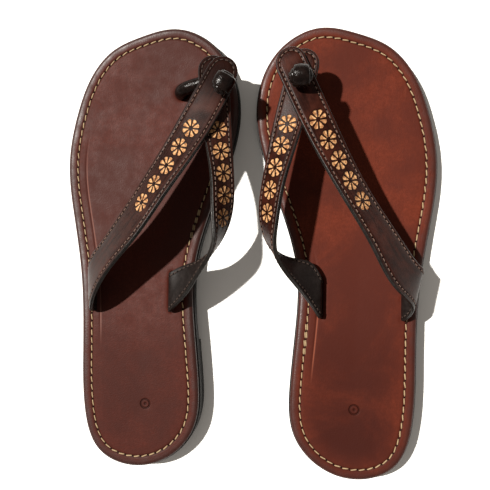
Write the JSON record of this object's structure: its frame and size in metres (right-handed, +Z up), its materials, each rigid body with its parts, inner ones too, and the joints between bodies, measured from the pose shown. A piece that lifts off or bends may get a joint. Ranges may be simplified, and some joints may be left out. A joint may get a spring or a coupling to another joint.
{
  "type": "flip flop",
  "caption": "Pair of leather toe-post flip flops with flower-stamped, stitched straps crossing at a rolled leather toggle.",
  "frame": {"origin": "on the floor, at the middle of the bounding box of the pair", "axes": "+Y from heels to toes, +Z up, +X from the left flip flop to the right one"},
  "size_m": [0.2218, 0.2666, 0.0546],
  "materials": {
    "burnished_leather": "satin",
    "dark_midsole": "satin",
    "black_rubber": "matte",
    "strap_leather": "satin",
    "lining_leather": "matte",
    "tan_thread": "matte",
    "brown_thread": "matte",
    "rolled_leather": "satin"
  },
  "bodies": {
    "left_flip_flop": {"left_insole": "burnished_leather", "left_midsole": "dark_midsole", "left_outsole": "black_rubber", "left_heel_lift": "black_rubber", "left_sole_stitching": "tan_thread", "left_outer_strap_upper": "strap_leather", "left_outer_strap_lining": "lining_leather", "left_inner_strap_upper": "strap_leather", "left_inner_strap_lining": "lining_leather", "left_outer_strap_stitching": "brown_thread", "left_inner_strap_stitching": "brown_thread", "left_toe_post": "rolled_leather"},
    "left_toggle": {"left_toe_toggle": "rolled_leather"},
    "right_flip_flop": {"right_insole": "burnished_leather", "right_midsole": "dark_midsole", "right_outsole": "black_rubber", "right_heel_lift": "black_rubber", "right_sole_stitching": "tan_thread", "right_outer_strap_upper": "strap_leather", "right_outer_strap_lining": "lining_leather", "right_inner_strap_upper": "strap_leather", "right_inner_strap_lining": "lining_leather", "right_outer_strap_stitching": "brown_thread", "right_inner_strap_stitching": "brown_thread", "right_toe_post": "rolled_leather"},
    "right_toggle": {"right_toe_toggle": "rolled_leather"}
  },
  "joints": [
    {"name": "right_lift_off", "type": "slide", "parent": "left_flip_flop", "child": "right_flip_flop", "axis": [0, 0, 1], "range_m": [0, 0.12]},
    {"name": "left_toggle_twist", "type": "hinge", "parent": "left_flip_flop", "child": "left_toggle", "pos_m": [-0.0095, 0.09174, 0.0414], "axis": [0.4244, -0.2663, 0.8654], "range_deg": [-20, 20]},
    {"name": "right_toggle_twist", "type": "hinge", "parent": "right_flip_flop", "child": "right_toggle", "pos_m": [0.0331, 0.09194, 0.0484], "axis": [0.0414, -0.2277, 0.9729], "range_deg": [-20, 20]}
  ]
}
